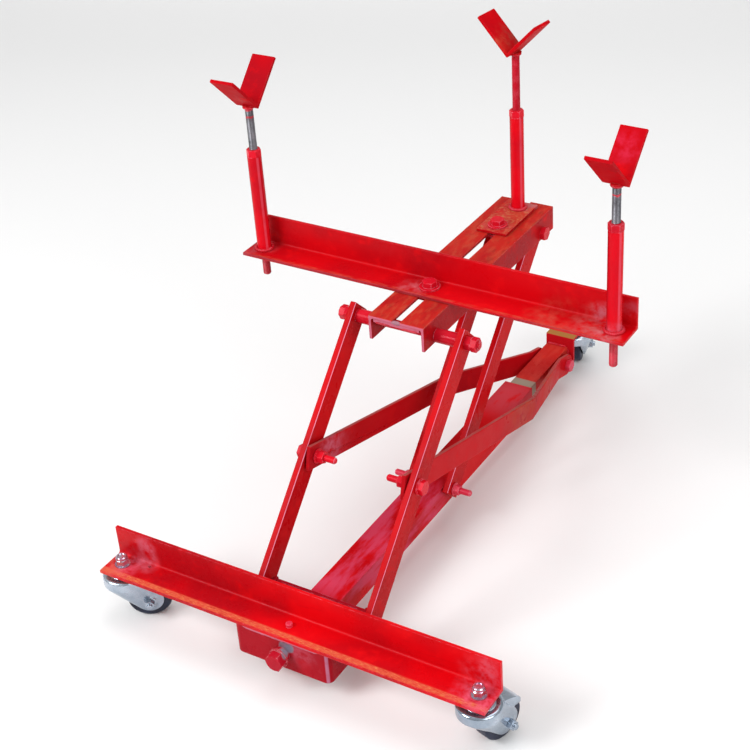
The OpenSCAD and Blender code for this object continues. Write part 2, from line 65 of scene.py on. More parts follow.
# ------------------------------------------------------------------ camera
def make_camera():
    az, el, ro = (math.radians(a) for a in (32.601, 32.510, -3.876))
    fwd = Vector((-math.sin(az) * math.cos(el), math.cos(az) * math.cos(el), -math.sin(el)))
    right = Vector((math.cos(az), math.sin(az), 0))
    up = right.cross(fwd)
    r2 = math.cos(ro) * right + math.sin(ro) * up
    u2 = -math.sin(ro) * right + math.cos(ro) * up
    cam = bpy.data.objects.new("camera", bpy.data.cameras.new("camera"))
    bpy.context.scene.collection.objects.link(cam)
    m = Matrix((r2, u2, -fwd)).transposed().to_4x4()
    m.translation = Vector((0.979511, -1.683919, 1.475137))
    cam.matrix_world = m
    cam.data.sensor_fit = "HORIZONTAL"
    cam.data.sensor_width = 36
    cam.data.lens = 36 * 1563.873 / 750
    cam.data.shift_x = -19.427 / 750
    cam.data.shift_y = 0.981 / 750
    cam.data.clip_start = 0.05
    cam.data.clip_end = 60
    bpy.context.scene.camera = cam
    return cam


# ------------------------------------------------------------------ floor and light
WORLD = (0.46, 0.62)
LIGHTS = (
    ("key", (-1.7, -2.6, 2.5), 1.5, None, 88),
    ("strip", (3.0, -1.3, 2.0), 2.2, 2.0, 46),
    ("top", (0.2, 0.9, 3.6), 2.6, None, 40),
)


def plain_material(name, colour, rough):
    m = bpy.data.materials.new(name)
    m.use_nodes = True
    b = m.node_tree.nodes["Principled BSDF"]
    b.inputs["Base Color"].default_value = (*colour, 1)
    b.inputs["Roughness"].default_value = rough
    return m


def make_stage():
    bm = bmesh.new()
    steps = [(-14, 0.0), (9, 0.0)]
    s, r = 40.0, 4.0
    prof = [(-30.0, 0.0)]
    for i in range(25):
        a = math.radians(90 * i / 24)
        prof.append((12 + r * math.sin(a), r - r * math.cos(a)))
    prof.append((12 + r, 22.0))
    rows = []
    for y, z in prof:
        rows.append([bm.verts.new((x, y, z)) for x in (-s, s)])
    for a, b in zip(rows, rows[1:]):
        bm.faces.new((a[0], a[1], b[1], b[0]))
    me = bpy.data.meshes.new("floor")
    bm.to_mesh(me)
    bm.free()
    for p in me.polygons:
        p.use_smooth = True
    o = bpy.data.objects.new("floor", me)
    bpy.context.scene.collection.objects.link(o)
    o.data.materials.append(plain_material("floor", (0.86, 0.86, 0.86), 0.75))
    return o


def area(name, loc, aim, size, power, colour=(1, 1, 1), size_y=None, spread=None):
    d = bpy.data.lights.new(name, "AREA")
    if spread:
        d.spread = spread
    d.energy = power
    d.color = colour
    d.size = size
    if size_y:
        d.shape = "RECTANGLE"
        d.size_y = size_y
    o = bpy.data.objects.new(name, d)
    bpy.context.scene.collection.objects.link(o)
    o.location = loc
    o.rotation_mode = "QUATERNION"
    o.rotation_quaternion = (Vector(aim) - Vector(loc)).to_track_quat("-Z", "Y")
    return o


def make_lights():
    w = bpy.data.worlds.new("world")
    bpy.context.scene.world = w
    w.use_nodes = True
    t = w.node_tree
    bg = t.nodes["Background"]
    co = t.nodes.new("ShaderNodeTexCoord")
    sp = t.nodes.new("ShaderNodeSeparateXYZ")
    t.links.new(co.outputs["Generated"], sp.inputs[0])
    r = t.nodes.new("ShaderNodeMapRange")
    r.inputs[1].default_value = 0.0
    r.inputs[2].default_value = 0.9
    r.inputs[3].default_value = WORLD[0]
    r.inputs[4].default_value = WORLD[1]
    t.links.new(sp.outputs[2], r.inputs[0])
    t.links.new(r.outputs[0], bg.inputs["Strength"])
    bg.inputs["Color"].default_value = (1, 1, 1, 1)
    for name, loc, size, size_y, power in LIGHTS:
        area(name, loc, (0, 0, 0.3), size, power, size_y=size_y)
    # evens out the far floor, beamed away from the jack
    area("backdrop", (-1.7, 2.6, 3.0), (-2.5, 4.4, 0.0), 2.6, 34, spread=1.3)
    bpy.context.scene.view_settings.view_transform = "Standard"
    bpy.context.scene.view_settings.look = "None"


# ------------------------------------------------------------------ node material helpers
class Tree:
    def __init__(self, name):
        self.m = bpy.data.materials.new(name)
        self.m.use_nodes = True
        self.t = self.m.node_tree
        self.bsdf = self.t.nodes["Principled BSDF"]
        coords = self.t.nodes.new("ShaderNodeTexCoord")
        self.co = coords.outputs["Object"]
        self.nrm = coords.outputs["Normal"]
        self.sep = None

    def n(self, kind, **kw):
        node = self.t.nodes.new(kind)
        for k, v in kw.items():
            setattr(node, k, v)
        return node

    def link(self, a, b):
        self.t.links.new(a, b)

    def noise(self, scale, detail=3.0, rough=0.55, vec=None, dist=0.0):
        x = self.n("ShaderNodeTexNoise")
        x.inputs["Scale"].default_value = scale
        x.inputs["Detail"].default_value = detail
        x.inputs["Roughness"].default_value = rough
        x.inputs["Distortion"].default_value = dist
        self.link(vec or self.co, x.inputs["Vector"])
        return x.outputs["Fac"]

    def scaled(self, sx, sy, sz, rot=(0, 0, 0)):
        x = self.n("ShaderNodeMapping")
        x.inputs["Scale"].default_value = (sx, sy, sz)
        x.inputs["Rotation"].default_value = rot
        self.link(self.co, x.inputs["Vector"])
        return x.outputs["Vector"]

    def xyz(self, i):
        if self.sep is None:
            self.sep = self.n("ShaderNodeSeparateXYZ")
            self.link(self.co, self.sep.inputs[0])
        return self.sep.outputs[i]

    def _in(self, node, i, v):
        if isinstance(v, (int, float)):
            node.inputs[i].default_value = v
        else:
            self.link(v, node.inputs[i])

    def math(self, op, a, b=0.0, c=0.0, clamp=False):
        x = self.n("ShaderNodeMath", operation=op, use_clamp=clamp)
        self._in(x, 0, a)
        self._in(x, 1, b)
        self._in(x, 2, c)
        return x.outputs[0]

    def step(self, v, lo, hi, out0=0.0, out1=1.0, smooth=True):
        x = self.n("ShaderNodeMapRange", interpolation_type="SMOOTHSTEP" if smooth else "LINEAR")
        self._in(x, 0, v)
        x.inputs[1].default_value = lo
        x.inputs[2].default_value = hi
        x.inputs[3].default_value = out0
        x.inputs[4].default_value = out1
        return x.outputs[0]

    def mix(self, fac, a, b):
        x = self.n("ShaderNodeMix", data_type="RGBA")
        self._in(x, 0, fac)
        for i, v in ((6, a), (7, b)):
            if isinstance(v, tuple):
                x.inputs[i].default_value = (*v, 1)
            else:
                self.link(v, x.inputs[i])
        return x.outputs[2]

    def spot(self, centre, radius, soft=0.5, wobble=0.0, scale=60):
        """1 near a point and 0 beyond the radius, with a ragged rim."""
        x = self.n("ShaderNodeVectorMath", operation="DISTANCE")
        self.link(self.co, x.inputs[0])
        x.inputs[1].default_value = centre
        d = x.outputs["Value"]
        if wobble:
            d = self.math("ADD", d, self.math("MULTIPLY", self.math("SUBTRACT", self.noise(scale, 4), 0.5), wobble))
        return self.step(d, radius * (1 - soft), radius, 1.0, 0.0)

    def band(self, v, lo, hi, soft):
        """1 where lo < v < hi."""
        return self.math("MULTIPLY", self.step(v, lo - soft, lo + soft), self.step(v, hi - soft, hi + soft, 1.0, 0.0))

    def facing(self, direction, lo, hi):
        """1 where the surface faces the direction, in the part's own space."""
        d = self.n("ShaderNodeVectorMath", operation="DOT_PRODUCT")
        self.link(self.nrm, d.inputs[0])
        d.inputs[1].default_value = Vector(direction).normalized()
        return self.step(d.outputs["Value"], lo, hi)

    def edge(self, radius, lo=0.03, hi=0.28):
        """1 on convex and concave edges within the radius."""
        b = self.n("ShaderNodeBevel", samples=4)
        b.inputs["Radius"].default_value = radius
        g = self.n("ShaderNodeNewGeometry")
        d = self.n("ShaderNodeVectorMath", operation="DOT_PRODUCT")
        self.link(b.outputs[0], d.inputs[0])
        self.link(g.outputs["True Normal"], d.inputs[1])
        return self.step(self.math("SUBTRACT", 1.0, self.math("ABSOLUTE", d.outputs["Value"])), lo, hi)

    def bump(self, layers, distance=0.001):
        last = None
        for height, strength in layers:
            b = self.n("ShaderNodeBump")
            b.inputs["Strength"].default_value = strength
            b.inputs["Distance"].default_value = distance
            self.link(height, b.inputs["Height"])
            if last is not None:
                self.link(last, b.inputs["Normal"])
            last = b.outputs["Normal"]
        self.link(last, self.bsdf.inputs["Normal"])

    def set(self, **kw):
        for k, v in kw.items():
            i = self.bsdf.inputs[k.replace("_", " ")]
            if isinstance(v, tuple):
                i.default_value = (*v, 1) if len(v) == 3 else v
            elif isinstance(v, (int, float)):
                i.default_value = v
            else:
                self.link(v, i)
        return self


RED = (0.62, 0.0015, 0.0045)
RED_DEEP = (0.40, 0.0020, 0.0060)
RED_HOT = (0.76, 0.0040, 0.0060)


def dm(x, y, z):
    """Design millimetres (floor, beam front edge, mirror plane) to frame metres."""
    return ((x - 7) / 1000, (y - 465.5) / 1000, z / 1000)


def axis_mm(i, v):
    return (v - (7, 465.5, 0)[i]) / 1000


def paint(name, base=RED, deep=RED_DEEP, hot=RED_HOT, wear_and_edge_sheen=0.55, edge_rub_highlight_colour=(0.80, 0.16, 0.22), seed=0.0, marks=(), bare=(), zones=(), rough=0.30, spec=0.15, painted_edge_highlight=0.0, calm=None, painted_light_and_shade=()):
    """Brushed-on gloss enamel: uneven film, thin and rubbed at edges, where the lighter edge colour is partly rubbed
    paint and partly a painted highlight.
    marks: ragged scuffs (centre, radius, colour, amount); bare: metal patches (centre, radius, colour);
    calm: a box (y and z ranges) where edges get neither the rubbed and painted-highlight edge colour nor chips, as in a
    rolled fillet;
    painted_light_and_shade: painted highlights and painted shade where the surface turns to a direction (direction, lo,
    hi, colour, amount);
    zones: bands of another colour (axis, lo, hi, soft, colour, amount, grain, cut) in frame metres: rubbed paint, bare
    metal, speckled, ochre and darker bands, and painted highlight and painted sheen bands on the front beam's flange
    edge and the channel; metal when amount < 0."""
    t = Tree(name)
    vec = t.scaled(1, 1, 1)
    t.t.nodes[-1].inputs["Location"].default_value = (seed, seed * 0.7, seed * 1.3)
    big = t.noise(5.0, 3, 0.6, vec)
    med = t.noise(38.0, 4, 0.6, vec)
    fine = t.noise(520.0, 2, 0.5, vec)
    streak = t.noise(1.0, 3, 0.6, t.scaled(22, 160, 160))
    col = t.mix(t.step(big, 0.34, 0.62), deep, base)
    col = t.mix(t.math("MULTIPLY", t.step(med, 0.52, 0.74), 0.5), col, hot)
    col = t.mix(t.math("MULTIPLY", t.step(streak, 0.55, 0.75), 0.22), col, deep)
    rg = t.math("ADD", t.step(med, 0.3, 0.75, rough - 0.07, rough + 0.12), t.step(big, 0.3, 0.7, -0.03, 0.06))
    metal = None
    for axis, lo, hi, soft, colour, amount, grain, cut in zones:
        g = t.scaled(*grain)
        z = t.band(t.xyz(axis), lo, hi, soft)
        z = t.math("MULTIPLY", z, t.step(t.noise(1.0, 4, 0.65, g), cut - 0.10, cut + 0.12))
        z = t.math("MULTIPLY", z, abs(amount))
        col = t.mix(z, col, colour)
        rg = t.math("ADD", rg, t.math("MULTIPLY", z, 0.14))
        if amount < 0:
            metal = z if metal is None else t.math("MAXIMUM", metal, z)
    e = t.edge(0.0016)
    edge_rub_highlight_mask = t.math("MULTIPLY", e, t.step(t.noise(90, 4, 0.65, vec), 0.40, 0.62))
    edge_rub_highlight_mask = t.math("MULTIPLY", edge_rub_highlight_mask, wear_and_edge_sheen)
    if calm:
        inside = t.math("MULTIPLY", t.band(t.xyz(1), calm[0], calm[1], 0.0008), t.band(t.xyz(2), calm[2], calm[3], 0.0008))
        edge_rub_highlight_mask = t.math("MULTIPLY", edge_rub_highlight_mask, t.math("SUBTRACT", 1.0, inside))
    # A constant lighter colour on every edge: a painted highlight.
    if painted_edge_highlight:
        edge_rub_highlight_mask = t.math("MAXIMUM", edge_rub_highlight_mask, t.math("MULTIPLY", e, painted_edge_highlight))
    # Lighter edge colour: partly rubbed paint and partly a painted highlight.
    col = t.mix(edge_rub_highlight_mask, col, edge_rub_highlight_colour)
    chip = t.math("MULTIPLY", t.edge(0.0009, 0.05, 0.2), t.step(t.noise(160, 3, 0.7, vec), 0.62, 0.70))
    chip = t.math("MULTIPLY", chip, min(1.0, wear_and_edge_sheen * 1.1))
    if calm:
        chip = t.math("MULTIPLY", chip, t.math("SUBTRACT", 1.0, inside))
    col = t.mix(chip, col, (0.33, 0.24, 0.25))
    # Colour set by facing direction: painted highlights and painted shade, not the enamel's own colour.
    for direction, lo, hi, colour, amount in painted_light_and_shade:
        f = t.math("MULTIPLY", t.facing(direction, lo, hi), t.step(t.noise(60, 3, 0.6, vec), 0.25, 0.55, amount * 0.65, amount))
        col = t.mix(f, col, colour)
    for centre, radius, colour, amount in marks:
        s = t.spot(centre, radius, 0.85, radius * 0.9, 45)
        s = t.math("MULTIPLY", s, t.step(t.noise(75, 4, 0.6, vec), 0.30, 0.72))
        s = t.math("MULTIPLY", s, amount)
        col = t.mix(s, col, colour)
        rg = t.math("ADD", rg, t.math("MULTIPLY", s, 0.15))
    for centre, radius, colour in bare:
        s = t.spot(centre, radius, 0.35, radius * 0.7, 70)
        col = t.mix(s, col, colour)
        metal = s if metal is None else t.math("MAXIMUM", metal, s)
        rg = t.math("ADD", rg, t.math("MULTIPLY", s, 0.15))
    t.bump([(fine, 0.08), (t.noise(60, 3, 0.5, vec), 0.08), (streak, 0.05), (t.math("SUBTRACT", 1.0, chip), 0.35)], 0.0006)
    t.set(Base_Color=col, Roughness=rg, Specular_IOR_Level=spec, Specular_Tint=(1.0, 0.55, 0.66))
    if metal is not None:
        t.set(Metallic=t.math("MULTIPLY", metal, 0.75))
    return t


def zinc(name, tint=(0.29, 0.35, 0.43), light=(0.50, 0.56, 0.64), rough=0.17, pink=0.0, seed=0.0):
    """Bright zinc plate with a soft bluish passivation haze and handling marks."""
    t = Tree(name)
    vec = t.scaled(1, 1, 1)
    t.t.nodes[-1].inputs["Location"].default_value = (seed, seed * 0.7, seed * 1.3)
    a = t.noise(22, 4, 0.6, vec)
    b = t.noise(120, 4, 0.65, vec)
    col = t.mix(t.step(a, 0.30, 0.74), tint, light)
    col = t.mix(t.math("MULTIPLY", t.step(b, 0.60, 0.76), 0.22), col, (0.24, 0.28, 0.34))
    if pink:
        col = t.mix(t.math("MULTIPLY", t.step(t.noise(60, 3, 0.6, vec), 0.42, 0.62), pink), col, (0.56, 0.16, 0.32))
    rg = t.math("ADD", t.step(a, 0.3, 0.7, rough - 0.06, rough + 0.08), t.step(b, 0.4, 0.75, 0.0, 0.10))
    t.bump([(t.noise(900, 2, 0.5, vec), 0.06), (b, 0.05)], 0.0004)
    t.set(Base_Color=col, Roughness=rg, Metallic=0.92)
    return t


def thread_steel(name, red_above, red_below):
    """Plain oily thread, with enamel carried on to it next to the saddle and on the lower end."""
    t = Tree(name)
    a = t.noise(30, 4, 0.6)
    b = t.noise(260, 4, 0.7)
    col = t.mix(t.step(a, 0.35, 0.65), (0.11, 0.11, 0.125), (0.25, 0.25, 0.275))
    col = t.mix(t.math("MULTIPLY", t.step(b, 0.55, 0.75), 0.5), col, (0.10, 0.075, 0.075))
    z = t.math("ADD", t.xyz(2), t.math("MULTIPLY", t.math("SUBTRACT", t.noise(70, 3, 0.6), 0.5), 0.006))
    top = t.math("MAXIMUM", t.band(z, red_above - 0.0012, red_above + 0.0016, 0.0006), t.step(z, red_above + 0.009, red_above + 0.011))
    red = t.math("MAXIMUM", top, t.step(z, red_below - 0.002, red_below + 0.002, 1.0, 0.0))
    red = t.math("MULTIPLY", red, t.step(b, 0.30, 0.42, 0.75, 1.0))
    col = t.mix(red, col, t.mix(t.step(a, 0.4, 0.6), (0.42, 0.006, 0.022), (0.66, 0.030, 0.060)))
    t.bump([(b, 0.2)], 0.0003)
    t.set(Base_Color=col, Metallic=t.math("MULTIPLY", t.math("SUBTRACT", 1.0, red), 0.9), Roughness=t.step(b, 0.3, 0.7, 0.26, 0.46))
    return t


FIBRE = (14, 420, 420)
RAGGED = (60, 60, 60)
ORANGE = (0.74, 0.115, 0.050)
PINKISH = (0.74, 0.10, 0.17)
SMEAR = (0.62, 0.22, 0.32)
BROWN = (0.40, 0.070, 0.028)
OCHRE = (0.36, 0.165, 0.040)
WELD_GREY = (0.22, 0.22, 0.27)


def make_materials():
    M = {}
    M["red"] = paint("red_enamel")
    M["beam_a"] = paint("red_enamel_front_beam", base=(0.68, 0.0010, 0.0040), seed=1.3, wear_and_edge_sheen=0.7, spec=0.13,
        calm=(axis_mm(1, 37), axis_mm(1, 45.3), axis_mm(2, 87.9), axis_mm(2, 94)),
        # Orange bands along the flange's front edge are a painted highlight.
        zones=((1, axis_mm(1, 0.9), axis_mm(1, 10.6), 0.0006, (0.60, 0.062, 0.036), 0.95, (80, 700, 700), 0.40),
               (1, axis_mm(1, 1.4), axis_mm(1, 9.6), 0.0006, (0.72, 0.24, 0.085), 0.85, (150, 900, 900), 0.55)),
        marks=((dm(-284, 22, 88), 0.034, PINKISH, 0.8), (dm(-298, 10, 88), 0.034, (0.60, 0.10, 0.045), 0.9),
               (dm(-252, 45, 116), 0.022, SMEAR, 0.45), (dm(-256, 44, 92), 0.030, SMEAR, 0.40),
               (dm(284, 22, 88), 0.044, PINKISH, 0.9), (dm(276, 45, 104), 0.040, SMEAR, 0.20), (dm(292, 45, 118), 0.024, SMEAR, 0.22),
               (dm(300, 6, 88), 0.03, PINKISH, 0.7)))
    M["box"] = paint("red_enamel_box", base=(0.38, 0.0030, 0.0110), deep=(0.29, 0.0040, 0.0120), hot=(0.46, 0.008, 0.018), seed=4.4, wear_and_edge_sheen=0.5, spec=0.06, rough=0.25,
        # Lilac stripe on the rounded front corner is a painted highlight set by facing direction; the lilac edge colour
        # is partly a painted highlight.
        edge_rub_highlight_colour=(0.80, 0.34, 0.50), painted_light_and_shade=(((0.56, -0.83, 0.0), 0.955, 0.992, (0.50, 0.20, 0.31), 0.75),),
        marks=((dm(30, 3, 66), 0.030, (0.55, 0.12, 0.18), 0.5),),
        bare=((dm(7, 3, 71), 0.0125, (0.36, 0.34, 0.42)),))
    M["channel"] = paint("red_enamel_channel", base=(0.60, 0.0020, 0.0050), seed=2.7, wear_and_edge_sheen=0.75, spec=0.05,
        # Pinkish bands along the channel are a painted reflection.
        zones=((1, axis_mm(1, 112), axis_mm(1, 400), 0.03, (0.58, 0.060, 0.13), 0.70, (50, 12, 50), 0.50),
               (1, axis_mm(1, 610), axis_mm(1, 704), 0.030, (0.50, 0.050, 0.070), 0.75, (40, 14, 40), 0.36)))
    M["arm"] = paint("red_enamel_bar", base=(0.55, 0.0035, 0.0060), deep=(0.42, 0.0040, 0.0070), hot=(0.64, 0.0050, 0.0070), seed=6.1, wear_and_edge_sheen=0.35, spec=0.035, rough=0.26,
        # Pink stripe on the front-right edge bevel is a painted highlight set by facing direction.
        edge_rub_highlight_colour=(0.80, 0.16, 0.24), painted_light_and_shade=(((0.707, -0.505, 0.494), 0.90, 0.965, (0.84, 0.36, 0.52), 0.85),))
    # Greyish-brown colour on the link's up-facing faces is a painted highlight set by facing direction.
    M["link"] = paint("red_enamel_link", base=(0.52, 0.0045, 0.0090), deep=(0.38, 0.0050, 0.0100), hot=(0.62, 0.010, 0.012), seed=7.9, wear_and_edge_sheen=0.5, spec=0.03, painted_light_and_shade=(((0.0, 0.25, 0.97), 0.90, 0.97, (0.30, 0.10, 0.09), 0.6),),
        marks=((dm(-76, 262, 205), 0.042, (0.55, 0.15, 0.22), 0.75), (dm(-76, 300, 190), 0.030, (0.50, 0.06, 0.08), 0.5),
               (dm(76, 560, 130), 0.070, (0.44, 0.060, 0.028), 0.75), (dm(50, 690, 95), 0.070, (0.44, 0.060, 0.028), 0.6)))
    # Pink on the front-facing ends and the constant lighter colour on every edge are painted highlights.
    M["rail"] = paint("red_enamel_rail", base=(0.46, 0.0050, 0.0080), deep=(0.33, 0.0050, 0.0090), seed=8.3, wear_and_edge_sheen=0.85, edge_rub_highlight_colour=(0.72, 0.22, 0.28), spec=0.04, painted_edge_highlight=0.30, painted_light_and_shade=(((0.0, -1.0, 0.0), 0.93, 0.99, (0.64, 0.20, 0.30), 0.65),),
        zones=((2, axis_mm(2, 387.6), axis_mm(2, 391), 0.0006, (0.50, 0.020, 0.013), 0.80, (26, 9, 26), 0.40),
               (2, axis_mm(2, 387.6), axis_mm(2, 391), 0.0006, (0.52, 0.12, 0.055), 0.30, (120, 40, 120), 0.55),
               (2, axis_mm(2, 387.6), axis_mm(2, 391), 0.0006, (0.26, 0.030, 0.018), 0.6, (150, 60, 150), 0.60)))
    M["beam_b"] = paint("red_enamel_cross_beam", base=(0.58, 0.0012, 0.0045), seed=3.1, wear_and_edge_sheen=0.65, spec=0.10,
        calm=(axis_mm(1, 443), axis_mm(1, 452), axis_mm(2, 394.6), axis_mm(2, 401)),
        zones=((1, axis_mm(1, 407.2), axis_mm(1, 412), 0.0010, (0.52, 0.10, 0.06), 0.55, (80, 500, 500), 0.52),
               (1, axis_mm(1, 406.2), axis_mm(1, 407.15), 0.0002, (0.24, 0.035, 0.045), 0.65, (9, 300, 300), 0.46)),
        marks=((dm(246, 428, 395), 0.040, (0.50, 0.13, 0.13), 0.8), (dm(258, 452, 402), 0.024, (0.60, 0.24, 0.34), 0.45), (dm(300, 455, 420), 0.024, SMEAR, 0.22),
               (dm(190, 420, 395), 0.050, (0.54, 0.10, 0.07), 0.5), (dm(276, 416, 395), 0.026, (0.60, 0.22, 0.26), 0.7),
               (dm(-20, 420, 395), 0.030, (0.62, 0.20, 0.24), 0.5), (dm(-282, 436, 395), 0.030, (0.56, 0.08, 0.10), 0.5), (dm(-302, 418, 395), 0.022, (0.36, 0.09, 0.12), 0.7)))
    M["post"] = paint("red_enamel_post", base=(0.74, 0.0030, 0.0110), deep=(0.52, 0.0040, 0.0120), seed=5.2, wear_and_edge_sheen=0.6, spec=0.09, rough=0.16,
        # Darker flanks on both sides are painted shade, and the pale vertical stripe is a painted highlight, both set
        # by facing direction.
        painted_light_and_shade=(((-0.842, -0.539, 0.0), 0.80, 0.99, (0.24, 0.0030, 0.0060), 0.55), ((0.842, 0.539, 0.0), 0.84, 0.99, (0.34, 0.0030, 0.0080), 0.5),
              ((0.86, -0.51, 0.0), 0.975, 0.993, (0.84, 0.12, 0.18), 0.45)),
        marks=((dm(280, 432, 400), 0.020, SMEAR, 0.7),))
    M["saddle"] = paint("red_enamel_saddle", base=(0.50, 0.0025, 0.0065), deep=(0.34, 0.0050, 0.0110), seed=9.6, wear_and_edge_sheen=0.9, edge_rub_highlight_colour=(0.62, 0.12, 0.12), spec=0.012, rough=0.40,
        marks=((dm(1.5, 725, 664), 0.040, (0.28, 0.060, 0.045), 0.85), (dm(-8, 694, 668), 0.026, (0.50, 0.085, 0.045), 0.75), (dm(-1, 682, 660), 0.007, (0.55, 0.30, 0.17), 0.8), (dm(-282, 408, 636), 0.020, (0.56, 0.10, 0.10), 0.6), (dm(-274, 402, 630), 0.006, (0.60, 0.34, 0.16), 0.7), (dm(280, 460, 650), 0.03, (0.66, 0.03, 0.08), 0.6)))
    M["tube"] = paint("red_enamel_tube", base=(0.52, 0.0120, 0.0090), deep=(0.38, 0.0140, 0.0120), hot=(0.60, 0.030, 0.014), seed=1.9, wear_and_edge_sheen=0.7, edge_rub_highlight_colour=(0.66, 0.13, 0.10), spec=0.05,
        zones=((1, axis_mm(1, 699), axis_mm(1, 724), 0.0012, (0.29, 0.25, 0.19), 0.95, RAGGED, 0.24),
               (1, axis_mm(1, 724), axis_mm(1, 850), 0.004, (0.54, 0.055, 0.040), 0.45, (50, 12, 50), 0.50)))
    M["bracket"] = paint("red_enamel_bracket", base=(0.50, 0.0060, 0.0120), seed=2.2, wear_and_edge_sheen=0.8, spec=0.06,
        zones=((2, axis_mm(2, 87.2), axis_mm(2, 92), 0.0004, OCHRE, 0.95, (30, 30, 30), 0.30),))
    M["plate"] = paint("red_enamel_plate", base=(0.50, 0.0050, 0.0080), seed=6.6, wear_and_edge_sheen=0.9, edge_rub_highlight_colour=(0.66, 0.24, 0.22), spec=0.08,
        zones=((2, axis_mm(2, 393.9), axis_mm(2, 396), 0.0006, (0.50, 0.050, 0.028), 0.75, (26, 26, 26), 0.44),
               (2, axis_mm(2, 393.9), axis_mm(2, 396), 0.0006, (0.52, 0.20, 0.090), 0.65, (190, 190, 190), 0.56)),
        marks=((dm(0, 640, 395), 0.026, (0.56, 0.20, 0.26), 0.6), (dm(20, 720, 395), 0.03, (0.56, 0.22, 0.26), 0.6)))
    M["fast"] = paint("red_fastener", base=(0.68, 0.0050, 0.0170), deep=(0.52, 0.0060, 0.0180), hot=(0.70, 0.014, 0.034), wear_and_edge_sheen=0.85, edge_rub_highlight_colour=(0.86, 0.34, 0.46), seed=9.2, spec=0.14, rough=0.22)
    # Whitish edge colour here is partly a painted highlight.
    M["hex"] = paint("red_hexagon", base=(0.47, 0.0060, 0.0180), deep=(0.38, 0.0070, 0.0200), hot=(0.60, 0.040, 0.070), wear_and_edge_sheen=1.0, edge_rub_highlight_colour=(0.84, 0.44, 0.50), seed=2.6, spec=0.08, rough=0.24,
        bare=((dm(5, -4, 62), 0.0095, (0.40, 0.37, 0.45)),))
    M["plug"] = paint("red_plug", base=(0.64, 0.026, 0.060), deep=(0.46, 0.010, 0.030), hot=(0.76, 0.10, 0.18), wear_and_edge_sheen=0.9, edge_rub_highlight_colour=(0.88, 0.46, 0.56), seed=3.9, spec=0.35)
    M["bead"] = paint("red_weld_bead", base=(0.56, 0.006, 0.016), deep=(0.34, 0.008, 0.018), hot=(0.74, 0.05, 0.09), wear_and_edge_sheen=0.5, seed=7.1, spec=0.6, rough=0.24)
    # Pinkish-white bead colour is a painted highlight.
    M["bead_light"] = paint("red_weld_bead_light", base=(0.60, 0.16, 0.24), deep=(0.40, 0.030, 0.06), hot=(0.74, 0.40, 0.50), wear_and_edge_sheen=0.6, seed=5.1, spec=0.6, rough=0.2)
    M["bead_grey"] = paint("weld_bead_grey", base=(0.34, 0.16, 0.20), deep=(0.26, 0.10, 0.12), hot=(0.50, 0.30, 0.36), wear_and_edge_sheen=0.3, seed=4.1, spec=0.5, rough=0.26)
    M["zinc"] = zinc("zinc_plate")
    M["zinc_pink"] = zinc("zinc_plate_oversprayed", tint=(0.50, 0.42, 0.52), light=(0.76, 0.74, 0.80), pink=0.7, rough=0.16, seed=2.0)
    M["thread_left"] = thread_steel("bare_thread_left", axis_mm(2, 619 - 14), axis_mm(2, 394))
    M["thread_right"] = thread_steel("bare_thread_right", axis_mm(2, 607 - 12), axis_mm(2, 394))
    M["thread_red"] = paint("red_enamel_thread", spec=0.10, base=(0.50, 0.006, 0.020), deep=(0.38, 0.008, 0.018), hot=(0.68, 0.03, 0.04), wear_and_edge_sheen=0.4, seed=8.8)
    M["steel"] = thread_steel("bare_steel", 9.0, -9.0)
    t = Tree("wheel_rubber")
    a = t.noise(24, 4, 0.6)
    b = t.noise(420, 4, 0.7)
    col = t.mix(t.step(a, 0.35, 0.66), (0.008, 0.010, 0.024), (0.020, 0.026, 0.056))
    col = t.mix(t.math("MULTIPLY", t.step(b, 0.58, 0.75), 0.35), col, (0.075, 0.080, 0.105))
    t.bump([(b, 0.25), (t.noise(70, 3, 0.6), 0.12)], 0.0004)
    t.set(Base_Color=col, Roughness=t.step(a, 0.3, 0.7, 0.36, 0.55), Specular_IOR_Level=0.35)
    M["rubber"] = t
    return M


def assign(o, t):
    o.data.materials.clear()
    o.data.materials.append(t.m)


def soften(o, width, segments=2, angle=35):
    """Rounds the hard edges of a bar or nut, as paint and rolling do."""
    w = o.modifiers.new("weld", "WELD")
    w.merge_threshold = 0.000002
    d = o.modifiers.new("flats", "DECIMATE")
    d.decimate_type = "DISSOLVE"
    d.angle_limit = math.radians(0.4)
    b = o.modifiers.new("bevel", "BEVEL")
    b.width = width
    b.segments = segments
    b.limit_method = "ANGLE"
    b.angle_limit = math.radians(angle)
    b.use_clamp_overlap = False
    b.miter_outer = "MITER_SHARP"
    n = o.modifiers.new("normals", "WEIGHTED_NORMAL")
    n.keep_sharp = False
    for p in o.data.polygons:
        p.use_smooth = True


def press(o):
    """Pressed sheet look: one flowing skin with rounded edges."""
    w = o.modifiers.new("weld", "WELD")
    w.merge_threshold = 0.000002
    r = o.modifiers.new("remesh", "REMESH")
    r.mode = "VOXEL"
    r.voxel_size = 0.0008
    r.use_smooth_shade = True
    k = o.modifiers.new("smooth", "SMOOTH")
    k.factor = 0.5
    k.iterations = 8


def mesh_piece(name, verts, faces, mat, body, smooth=True):
    me = bpy.data.meshes.new(name)
    me.from_pydata(verts, [], faces)
    me.validate()
    if smooth:
        for p in me.polygons:
            p.use_smooth = True
    me.materials.append(mat.m)
    o = bpy.data.objects.new(name, me)
    bpy.context.scene.collection.objects.link(o)
    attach(o, body)
    return o


